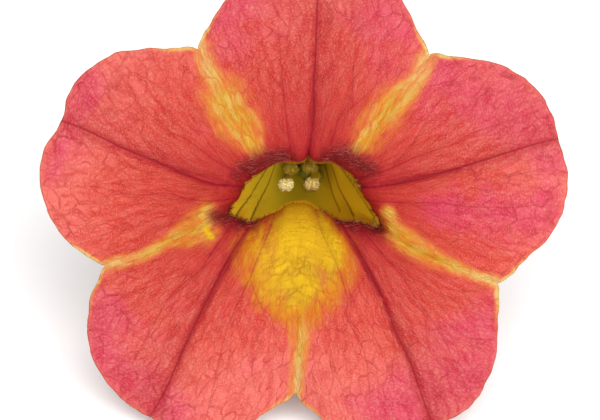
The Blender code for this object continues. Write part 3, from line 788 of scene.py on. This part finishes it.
    # Threads round the blisters and the coarse net, with painted shade in the broad valleys between the
    # blisters
    threads_and_valley_shade = f.times(f.rise(blisters, 0.14, 0.0), f.times(broken, 0.2, 0.08))
    threads_and_valley_shade = f.times(coarse_thread, 0.2, f.times(f.rise(blisters, 0.42, 0.0), 0.3, threads_and_valley_shade))
    gold = f.coat(gold, PALATE_THREAD_AND_SHADE, threads_and_valley_shade, f.rise(along, 3.5, 6.5))
    colour = f.mix(bright, colour, gold)

    # Burgundy round the mouth, in fine streaks
    fine_streaks = f.streaks(uv, 9.0, 1.3, 2.0)
    dark = f.times(fine_streaks, f.rise(burgundy, 0.0, 0.3), f.calc("SUBTRACT", burgundy, 0.5))
    dark = f.rise(dark, 0.05, 1.0)
    colour = f.coat(colour, f.mix(dark, BURGUNDY_RED, BURGUNDY_DARK), dark, 0.9)
    brushed = f.rise(f.streaks(uv, 2.2, 12.0, 3.0), 0.52, 0.7)
    colour = f.coat(colour, CELL_PALE_AND_HIGHLIGHT, f.times(brushed, f.rise(burgundy, 0.1, 0.7)), 0.1)

    # Yellow inside the throat, behind a toothed line
    # Painted shade deep in the tube: the yellow darkens with depth
    deep = f.mix(f.rise(depth, 2.0, 6.0), THROAT_LIT, THROAT_MID)
    deep = f.mix(f.rise(depth, 5.0, 10.0), deep, THROAT_DEEP_SHADE)
    # Painted shade on the throat's right wall and roof
    deep = f.coat(deep, THROAT_PAINTED_SHADE, first_tint, 0.6)
    deep = f.coat(deep, PALATE_THREAD_AND_SHADE, f.rise(fibre, 0.6, 0.35), 0.25)
    flecks = f.rise(f.calc("ADD", f.noise(uv, 5.0, 2.0), f.rise(depth, 1.5, 4.0)), 0.42, 0.3)
    deep = f.mix(flecks, deep, THROAT_STRIPE)
    across = f.times(f.add("SeparateXYZ", {0: wobbly}), 1.6)
    teeth = f.add("TexVoronoi", {"W": across}, voronoi_dimensions="1D")
    inside = f.rise(f.times(teeth, 0.9, along), 0.5, 0.35)
    colour = f.mix(inside, colour, deep)

    # The veins
    line = f.calc("DIVIDE", f.calc("ABSOLUTE", side), half)
    line = f.times(f.rise(distance, 0.3, 0.2), f.rise(line, 1.5, 0.3))
    strong = f.rise(half, 0.035, 0.085)
    over_yellow = f.calc("MAXIMUM", bright, f.times(yellow, 0.7))
    fade = f.times(over_yellow, -0.5, 1.0)
    # Painted shade round the grooves of the stronger veins
    halo = f.times(f.rise(distance, 0.45, 0.0), f.times(strong, 0.5))
    colour = f.coat(colour, f.mix(over_yellow, RIB_SHADE, PALATE_THREAD_AND_SHADE), halo, fade)
    drawn = f.times(line, f.times(strong, 0.45, 0.3))
    vein = f.mix(inside, f.mix(strong, VEIN_RED, RIB_DARK), THROAT_STRIPE)
    colour = f.coat(colour, vein, drawn, fade)
    if not seen_from_front:
        paler = f.times(f.rise(along, 2.0, -3.0), 0.35, 0.5)
        colour = f.mix(paler, colour, f.mix(f.rise(depth, 0.5, 5.0), BACK_CORAL, BACK_GREEN))

    f.bump(f.times(swell, 0.8, f.times(thread, -0.3, f.times(grain, 0.3))), PETAL_GRAIN)
    f.feed(Base_Color=colour, Roughness=f.times(grain, 0.2, 0.5), Specular_IOR_Level=0.15)
    through = THROUGH_OUTSIDE
    if seen_from_front:
        # The light let through darkens deeper in the tube: painted shade
        through = f.mix(f.rise(f.times(fibre, 4.0, depth), 4.5, 11.0), THROUGH_TUBE, THROUGH_DEEP_SHADE)
        # Painted shade on the throat's right wall and roof, in the light let through as well
        through = f.coat(through, THROUGH_PAINTED_SHADE, first_tint, 0.85)
        through = f.coat(through, THROUGH_STRIPE, line, 0.7)
    in_throat = THROUGH_THROAT if seen_from_front else THROUGH_THROAT_BACK
    f.let_light_through(f.times(inside, in_throat, THROUGH_LOBE), f.mix(inside, colour, through))
    return f.material


# What the hairs need of the skin before its mesh is handed over: roots, and the way out of the skin there
seeds = random.Random(11)
TUBE_HAIRS, HAIRLESS_ROWS = 500, 8
lobe_places = KDTree(len(flats))
skin_at = {}
for k, vertex in enumerate(petals.verts):
    skin_at[round(vertex[cell].x), round(vertex[cell].y)] = (vertex.co.copy(), vertex.normal.copy())
    if vertex[cell].y > TUBE_ROWS:
        lobe_places.insert((*flats[k], 0), k)
lobe_places.balance()
skin = list(skin_at.values())


def sown(bm, count, depth, chosen=None):
    """Roots for hairs, spread evenly over the far side of a skin that is as thick as depth."""
    faces = [face for face in bm.faces if chosen is None or chosen(face)]
    for face in seeds.choices(faces, [face.calc_area() for face in faces], k=count):
        corners = [vertex.co for vertex in face.verts]
        a, b = seeds.random(), seeds.random()
        place = corners[0].lerp(corners[1], a).lerp(corners[-1].lerp(corners[-2], a), b)
        out = face.normal * (-1 if depth > 0 else 1)
        yield place + out * depth, out


def on_tube(face):
    return all(vertex[cell].y < TUBE_ROWS - HAIRLESS_ROWS for vertex in face.verts)


def give_wall(made, thickness):
    """Thickens a sheet backwards, or inwards, from its modelled face."""
    wall = made.modifiers.new("wall", "SOLIDIFY")
    wall.thickness = thickness * MM
    wall.offset = -1
    return wall


tube_roots = list(sown(petals, TUBE_HAIRS, PETAL, on_tube))
petal_finishes = petal_finish("petal_face", True), petal_finish("petal_back", False)
corolla = piece(petals, "petals", "corolla", "petal", *petal_finishes)
corolla.vertex_groups.new(name="wall")
wall = give_wall(corolla, PETAL)
wall.vertex_group = "wall"
wall.thickness_vertex_group = 0.0
wall.material_offset = 1

# Stamens
# Five thin filaments that stand up from the tube's wall, each with a two-lobed anther whose open sacs are
# crusted with cream pollen grains.
Stamen = namedtuple("Stamen", "foot_angle anther bow finish")
# The anther finishes other than cream are painted shade.
STAMENS = {
    "stamen_long_left": Stamen(198.0, (-1.27, 0.55, 3.4), 0.35, "anther_cream"),
    "stamen_long_right": Stamen(342.0, (0.48, 0.59, 3.6), 0.50, "anther_tan_shaded"),
    "stamen_middle_left": Stamen(126.0, (-0.95, 1.32, 6.6), 0.10, "anther_olive_shaded"),
    "stamen_middle_right": Stamen(54.0, (0.36, 1.34, 6.8), 0.10, "anther_olive_shaded"),
    "stamen_short": Stamen(270.0, (0.35, -0.85, 11.0), 0.0, "anther_olive_shaded"),
}
STAMEN_FOOT_DEPTH = 14.0
STAMEN_FOOT_GAP = 0.6
FILAMENT_RADIUS, FILAMENT_STEPS, FILAMENT_SIDES = 0.13, 14, 10
FILAMENT_SINK = 0.3  # into the anther
ANTHER_HALF_SIZE = Vector((0.50, 0.44, 0.48))
ANTHER_GROOVE = 0.22  # both its depth and its half width
POLLEN_GRAINS, POLLEN_RADIUS = 130, (0.035, 0.06)


def extruded(bm, edges):
    """The new edges and vertices of an extrusion, in the edges' own place."""
    made = bmesh.ops.extrude_edge_only(bm, edges=edges)["geom"]
    kinds = bmesh.types.BMEdge, bmesh.types.BMVert
    return [[item for item in made if isinstance(item, kind)] for kind in kinds]


def rod(bm, path, radii, sides):
    """Adds a round rod with closed ends along a path."""
    ring = []
    for k, (here, radius) in enumerate(zip(path, radii)):
        turn = heading(path, k).to_track_quat("Z", "Y").to_matrix().to_4x4()
        place = Matrix.Translation(here) @ turn @ Matrix.Diagonal((radius, radius, 1, 1))
        if not ring:
            made = bmesh.ops.create_circle(bm, segments=sides, radius=1, matrix=place, cap_ends=True)
            ring = list(dict.fromkeys(edge for vertex in made["verts"] for edge in vertex.link_edges))
        else:
            ring, fresh = extruded(bm, ring)
            ring = [edge for edge in ring if edge.is_boundary]
            back = before.inverted()
            for vertex in fresh:
                vertex.co = place @ (back @ vertex.co)
        before = place
    bmesh.ops.edgeloop_fill(bm, edges=ring)


def anther_finish(name, dark, light):
    f = Finish(name)
    speck = f.noise(f.object_place(), 9000.0, 3.0)
    colour = f.mix(f.rise(speck, 0.3, 0.7), dark, light)
    f.bump(speck, 0.00003)
    f.feed(Base_Color=colour, Roughness=0.75, Specular_IOR_Level=0.25)
    return f.material


# The tan and olive sets are darker copies of the cream one: painted shade on the front right anther and on
# the three that sit deeper in the throat.
ANTHER_COLOURS = {
    "anther_cream": ("C0A050", "FFF0A8"),
    "anther_tan_shaded": ("A07C30", "E8CC7C"),
    "anther_olive_shaded": ("A08C1C", "E0C048"),
}
ANTHER_FINISHES = {name: anther_finish(name, *map(paint, codes)) for name, codes in ANTHER_COLOURS.items()}
filament = Finish("filament_green")
streak = filament.noise(filament.stretch(filament.object_place(), (4000, 4000, 900)), 1.0)
filament.feed(Base_Color=filament.mix(streak, paint("A8A83C"), paint("D2CC78")), Roughness=0.5)
grains = random.Random(7)
for name, stamen in STAMENS.items():
    bm = bmesh.new()
    share = 1 - STAMEN_FOOT_DEPTH / TUBE_LENGTH
    foot_radius = tube_radius(share) * (1 - RIB_SWELL) - STAMEN_FOOT_GAP
    foot = Vector((*on_circle(foot_radius, math.radians(stamen.foot_angle)), -STAMEN_FOOT_DEPTH))
    head = Vector((stamen.anther[0], stamen.anther[1], -stamen.anther[2]))
    outwards = (foot.xy + head.xy).normalized().to_3d()
    path, radii = [], []
    for k in range(FILAMENT_STEPS + 1):
        share = k / FILAMENT_STEPS
        here = foot.lerp(head - Vector((0, 0, FILAMENT_SINK)), share)
        path.append(bend(here + outwards * stamen.bow * math.sin(math.pi * share)))
        radii.append(FILAMENT_RADIUS * (1.25 - 0.4 * share))
    rod(bm, path, radii, FILAMENT_SIDES)
    stem_faces = len(bm.faces)
    sacs = bmesh.ops.create_icosphere(bm, subdivisions=5, radius=1)["verts"]
    for vertex in sacs:
        ball = vertex.co.copy()
        pinch = 1 - ANTHER_GROOVE * mound(ball.x, ANTHER_GROOVE)
        lump = 1 + 0.10 * noise.noise(ball * 2.3 + head) + 0.05 * noise.noise(ball * 7 + head)
        vertex.co = bend(head + Vector(a * b for a, b in zip(ball * pinch * lump, ANTHER_HALF_SIZE)))
    surface = [(vertex.co.copy(), vertex.co - bend(head)) for vertex in sacs]
    for k in range(POLLEN_GRAINS):
        seat, out = grains.choice(surface)
        size = grains.uniform(*POLLEN_RADIUS)
        seat = seat + out.normalized() * size * 0.4
        bmesh.ops.create_icosphere(bm, subdivisions=1, radius=size, matrix=Matrix.Translation(seat))
    for k, face in enumerate(bm.faces):
        face.material_index = int(k < stem_faces)
    bmesh.ops.transform(bm, matrix=PLACE, verts=bm.verts)
    bmesh.ops.recalc_face_normals(bm, faces=bm.faces)
    piece(bm, name + "_fine", name, "anther_cream", ANTHER_FINISHES[stamen.finish], filament.material)

# Pistil
# Ovary, style and stigma in one grown green piece at the bottom of the tube, moist and faintly ribbed.
pistil = Finish("pistil_green")
mottle = pistil.noise(pistil.object_place(), 1800.0, 4.0)
green = pistil.mix(pistil.rise(mottle, 0.3, 0.7), paint("5A6A08"), paint("8C9418"))
pistil.feed(Base_Color=green, Roughness=0.35, Coat_Weight=0.2)
pistil.bump(mottle, 0.00003)
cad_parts["pistil"].data.materials.clear()
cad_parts["pistil"].data.materials.append(pistil.material)

# Calyx
# A green cup round the tube's base with five narrow sepals that lie along the tube. Each has a raised midrib
# and the whole is covered with short sticky hairs.
CUP_RADII = (0.46, 0.66, 1.05, 1.60, 2.12, 2.33, 2.36, 2.39, 2.43)
CUP_HEIGHTS = (-21.30, -21.02, -20.86, -20.76, -20.50, -19.95, -19.1, -18.3, -17.6)
CUP_ROWS = 4 * (len(CUP_RADII) - 1)
CUP_RIDGE = 0.05  # under each sepal
SEPAL_LENGTHS = (7.4, 7.9, 7.2, 8.1, 7.0)
SEPAL_SPREADS = (0.040, 0.034, 0.045, 0.036, 0.042)
SEPAL_HALF_WIDTHS = (1.30, 0.88, 0.92, 0.95, 0.86, 0.62, 0.12)
SEPAL_ARCH, SEPAL_WAVE = 0.14, 0.10
SEPAL_MIDRIB = 0.16  # both its height and its half width
SEPAL_STEPS, COLUMNS_PER_SEPAL = 24, 16
CALYX_COLUMNS = COLUMNS_PER_SEPAL * len(SEPAL_LENGTHS)
CALYX_WALL, CALYX_HAIRS = 0.38, 600


def between(values, share):
    """The value at a share of the way through a row of values."""
    return float(np.interp(share * (len(values) - 1), range(len(values)), values))


def sepal_point(sepal, across, step):
    """A point of a sepal's inner face, across from -1 to 1, and step from the cup's rim to the tip."""
    along = SEPAL_LENGTHS[sepal] * step / SEPAL_STEPS
    side = across * between(SEPAL_HALF_WIDTHS, step / SEPAL_STEPS)
    radius = CUP_RADII[-1] + 0.10 * along + SEPAL_SPREADS[sepal] * along**2 - SEPAL_ARCH * side**2
    radius += SEPAL_MIDRIB * mound(side, SEPAL_MIDRIB) * ease(step, 0, 4)
    radius += SEPAL_WAVE * math.sin(1.7 * along + sepal) * abs(across) * ease(step, 2, 10)
    angle = base_angle(2 * sepal + 1)
    flat = on_circle(radius, angle) + on_circle(side, angle + math.pi / 2)
    return Vector((*flat, CUP_HEIGHTS[-1] + 0.95 * along))


def rim_stretch(bm, direction):
    """The cup's rim in the fifth of a turn round a direction."""
    stretch = []
    for edge in bm.edges:
        middle = (edge.verts[0].co + edge.verts[1].co) / 2
        at_rim = edge.is_boundary and abs(middle.z - CUP_HEIGHTS[-1]) < 1e-4
        if at_rim and middle.xy.angle(direction) < math.pi / len(SEPAL_LENGTHS):
            stretch.append(edge)
    return stretch


def cup_point(step, row):
    radius, height = between(CUP_RADII, row / CUP_ROWS), between(CUP_HEIGHTS, row / CUP_ROWS)
    turn = len(SPOKES) * step / CALYX_COLUMNS
    ridge = CUP_RIDGE * math.cos(math.pi * (turn - 1)) ** 8 * ease(height, -20.5, -19)
    return Vector((*on_circle(radius + ridge, base_angle(turn)), height))


cup = wrapped_sheet(CALYX_COLUMNS, CUP_ROWS, cup_point)
for sepal in range(len(SEPAL_LENGTHS)):
    angle = base_angle(2 * sepal + 1)
    side = on_circle(1, angle + math.pi / 2).to_3d()
    stretch = rim_stretch(cup, on_circle(1, angle))
    half_width = max(abs(vertex.co.dot(side)) for edge in stretch for vertex in edge.verts)
    for step in range(1, SEPAL_STEPS + 1):
        stretch, fresh = extruded(cup, stretch)
        for vertex in fresh:
            vertex.co = sepal_point(sepal, vertex.co.dot(side) / half_width, step)
        half_width = between(SEPAL_HALF_WIDTHS, step / SEPAL_STEPS)
bmesh.ops.recalc_face_normals(cup, faces=cup.faces)
inwards = sum(face.normal.dot(face.calc_center_median() * Vector((1, 1, 0))) for face in cup.faces)
if inwards > 0:
    bmesh.ops.reverse_faces(cup, faces=cup.faces)
for vertex in cup.verts:
    vertex.co = PLACE @ bend(vertex.co)


LEAF_LIGHT = 0.25  # share of the light that shines through


def leaf_finish(name, dark, light, scale):
    """Soft green skin, mottled by its cells and paler where it is young."""
    f = Finish(name)
    place = f.object_place()
    cells = f.add("TexVoronoi", {"Vector": place, "Scale": scale}, feature="F1")
    patchy = f.noise(place, scale / 12, 3.0)
    share = f.times(patchy, 0.8, f.times(cells, 0.35))
    f.bump(f.times(cells, -0.6, patchy), 0.00005)
    colour = f.mix(f.rise(share, 0.3, 0.85), dark, light)
    f.feed(Base_Color=colour, Roughness=0.55, Specular_IOR_Level=0.4)
    f.let_light_through(LEAF_LIGHT, colour)
    return f.material


cup.normal_update()
put_in_order(cup)
calyx_roots = list(sown(cup, CALYX_HAIRS, CALYX_WALL))
sepal_green = leaf_finish("sepal_green", paint("5C7A22"), paint("95AC4A"), 6000.0)
give_wall(piece(cup, "calyx_sepals", "calyx", "sepal_green", sepal_green), CALYX_WALL)

# Stalk
# The flower stalk as it was cut, with the receptacle that carries calyx, corolla and pistil at its head. Its
# green skin is hairy, and the cut end shows the paler, moist core.
RECEPTACLE = ((19.8, 1.55), (19.95, 1.90), (20.4, 1.90), (20.45, 0.70), (21.6, 0.62))
STALK_RADIUS, STALK_CUT_RADIUS = 0.50, 0.45
STALK_REACH = Vector((1.6, 12.5))
STALK_END_HEIGHT = 0.48
STALK_END_DIRECTION = Vector((0.25, 0.93, -0.28))
STALK_STEPS, STALK_SIDES, STALK_HAIRS = 40, 24, 450
STALK_UNEVENNESS = 0.04

bm = bmesh.new()
disc = [PLACE @ bend(Vector((0, 0, -depth))) for depth, radius in RECEPTACLE]
rod(bm, disc, [radius for depth, radius in RECEPTACLE], STALK_SIDES)
neck = disc[-1]
end = Vector((neck.x + STALK_REACH.x, neck.y + STALK_REACH.y, STALK_END_HEIGHT))
handle = STALK_REACH.y / 3
leave = neck + (disc[-1] - disc[-2]).normalized() * handle
arrive = end - STALK_END_DIRECTION.normalized() * handle
path = interpolate_bezier(disc[-2].lerp(neck, 0.5), leave, arrive, end, STALK_STEPS + 1)
radii = []
for k in range(STALK_STEPS + 1):
    uneven = STALK_UNEVENNESS * noise.noise(Vector((k * 0.35, 0, 3)))
    radii.append(STALK_RADIUS + (STALK_CUT_RADIUS - STALK_RADIUS) * (k / STALK_STEPS) ** 2 + uneven)
rod(bm, path, radii, STALK_SIDES)
for face in bm.faces:
    face.material_index = int((face.calc_center_median() - end).length < 0.05)
for vertex in bm.verts:
    vertex.co.z = max(vertex.co.z, 0.0)
bmesh.ops.recalc_face_normals(bm, faces=bm.faces)
put_in_order(bm)
stalk_roots = list(sown(bm, STALK_HAIRS, 0.0))
cut_pale = leaf_finish("cut_pale", paint("B9BE6C"), paint("DDE0A6"), 9000.0)
stalk_green = leaf_finish("stalk_green", paint("5F7A28"), paint("98A84C"), 5000.0)
piece(bm, "stalk_hairy", "stalk", "stalk_green", stalk_green, cut_pale)

# Hairs
# Fine hairs, each a tapering thread that grew out of the skin: pale ones lie on the burgundy marks, short
# brown ones fringe the lower edge of the mouth, and sticky ones cover tube, calyx and stalk.
PALE_HAIRS, PALE_HAIR_LENGTHS, PALE_HAIR_RADIUS = 480, (0.28, 0.55), 0.010
FRINGE_COLUMNS = ((4.7, 6.6), (7.4, 9.4))
FRINGE_HAIRS, FRINGE_HAIR_LENGTHS, FRINGE_HAIR_RADIUS = 300, (0.12, 0.34), 0.018
DOWN_LENGTHS, DOWN_RADIUS = (0.25, 0.6), 0.02
HAIRS_AT_ONCE = 60


def hairs(name, slot, finish, roots, lengths, radius, rise):
    """A coat of hairs: each leaves the skin outwards from its root and bends over its own way."""
    coat = bmesh.new()
    for start in range(0, len(roots), HAIRS_AT_ONCE):
        bm = bmesh.new()
        for root, out, towards in roots[start : start + HAIRS_AT_ONCE]:
            length = seeds.uniform(*lengths)
            sideways = Vector(seeds.uniform(-0.4, 0.4) for _ in range(3))
            tip = root + (out * seeds.uniform(*rise) + towards + sideways).normalized() * length
            middle = root.lerp(tip, 0.5) + out * 0.15 * length
            rod(bm, [root - out * radius, middle, tip], [radius, 0.75 * radius, 0.15 * radius], 3)
        bmesh.ops.recalc_face_normals(bm, faces=bm.faces)
        tuft = bpy.data.meshes.new("tuft")
        bm.to_mesh(tuft)
        bm.free()
        coat.from_mesh(tuft)
        bpy.data.meshes.remove(tuft)
    piece(coat, name, None, slot, finish)


def hair_finish(name, dark, light):
    f = Finish(name)
    colour = f.mix(f.noise(f.object_place(), 2500.0), paint(dark), paint(light))
    f.feed(Base_Color=colour, Roughness=0.45, Specular_IOR_Level=0.3)
    return f.material


roots = []
for k in range(PALE_HAIRS):
    line = BURGUNDY[seeds.choices((0, 1, 2, 3), (5, 5, 3, 1))[0]]
    (ax, ay, ar), (bx, by, br) = seeds.choice(list(zip(line, line[1:])))
    share = seeds.random()
    spot = Vector((ax, ay)).lerp(Vector((bx, by)), share)
    spot += on_circle((ar + (br - ar) * share) * seeds.random() ** 0.5 * 1.1, seeds.uniform(0, 2 * math.pi))
    root, out = skin[lobe_places.find(spot.to_3d())[1]]
    roots.append((root, out, PLACE.to_3x3() @ (spot - Vector((0.1, spot.y * 0.8))).normalized().to_3d()))
pale = hair_finish("hair_pale", "AC3C40", "DC8478")
hairs("hairs_pale", "petal", pale, roots, PALE_HAIR_LENGTHS, PALE_HAIR_RADIUS, (0.05, 0.3))

roots = []
steps_on = [i for i in range(columns) if any(a < column_of(i) < b for a, b in FRINGE_COLUMNS)]
for k in range(FRINGE_HAIRS):
    root, out = skin_at[seeds.choice(steps_on), TUBE_ROWS + seeds.choice((0, 1, 2, 3, 4))]
    inwards = PLACE.to_3x3() @ Vector((seeds.uniform(-0.7, 0.7), seeds.uniform(-0.3, 1.0), 0))
    roots.append((root, out, inwards))
brown = hair_finish("hair_brown", "5A140E", "8E3A18")
hairs("hairs_fringe", "petal", brown, roots, FRINGE_HAIR_LENGTHS, FRINGE_HAIR_RADIUS, (0.2, 0.6))

grown = tube_roots + calyx_roots + stalk_roots
roots = [(root, out, out) for root, out in grown if root.z > max(DOWN_LENGTHS)]
down = hair_finish("hair_green", "A8B070", "E4E8C0")
hairs("hairs_down", "sepal_green", down, roots, DOWN_LENGTHS, DOWN_RADIUS, (0.2, 0.6))

# Studio
# A plain pale floor, a broad soft light from beside the camera and an even white surround. The camera looks
# straight at the bloom's face, and so down on it.
floor_mesh = bmesh.new()
bmesh.ops.create_grid(floor_mesh, x_segments=1, y_segments=1, size=3.0)
mesh = bpy.data.meshes.new("floor")
floor_mesh.to_mesh(mesh)
floor_mesh.free()
floor = linked("floor", mesh)
paper = Finish("floor_paper")
fibre = paper.noise(paper.object_place(), 900.0, 3.0)
white = paper.mix(fibre, (0.93, 0.93, 0.93, 1), (0.95, 0.95, 0.95, 1))
paper.feed(Base_Color=white, Roughness=0.9, Specular_IOR_Level=0.1)
mesh.materials.append(paper.material)
floor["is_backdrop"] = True

world = bpy.data.worlds.new("surround")
bpy.context.scene.world = world
world.use_nodes = True
background = world.node_tree.nodes["Background"]
background.inputs["Color"].default_value = (1, 1, 1, 1)
background.inputs["Strength"].default_value = 0.6

right, up, towards = (PLACE.to_3x3() @ Vector(axis) for axis in ((1, 0, 0), (0, 1, 0), (0, 0, 1)))
VIEW_CENTRE = (-0.33, -1.0)  # from the mouth, in millimetres
VIEW_WIDTH = 39.84  # millimetres of the bloom's face across the picture
CAMERA_DISTANCE = 300.0
middle = Vector(MOUTH_PLACE) + right * VIEW_CENTRE[0] + up * VIEW_CENTRE[1]


def aim(data, name, place):
    """Puts a lamp or camera at a place, in millimetres, looking at the middle of the picture."""
    made = linked(name, data)
    away = (place - middle).normalized()
    level = up.cross(away).normalized()
    turn = Matrix((level, away.cross(level), away)).transposed().to_4x4()
    made.matrix_world = Matrix.Translation(place * MM) @ turn
    return made


KEY_DISTANCE = 600.0  # millimetres
KEY_WIDTH, KEY_HEIGHT, KEY_POWER = 0.80, 0.50, 6.6  # metres and watts
key = bpy.data.lights.new("key", "AREA")
key.shape = "RECTANGLE"
key.size = KEY_WIDTH
key.size_y = KEY_HEIGHT
key.energy = KEY_POWER
aim(key, "key", middle + (towards + 0.2 * up + 0.15 * right).normalized() * KEY_DISTANCE)

camera = bpy.data.cameras.new("camera")
camera.sensor_width = 36.0
camera.lens = camera.sensor_width * CAMERA_DISTANCE / VIEW_WIDTH
camera.clip_start = 0.001
bpy.context.scene.camera = aim(camera, "camera", middle + towards * CAMERA_DISTANCE)
bpy.context.scene.view_settings.view_transform = "Standard"

boxes = {"cad": cad_box, "visual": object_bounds()}
{name: [list(corner) for corner in box] for name, box in boxes.items()}
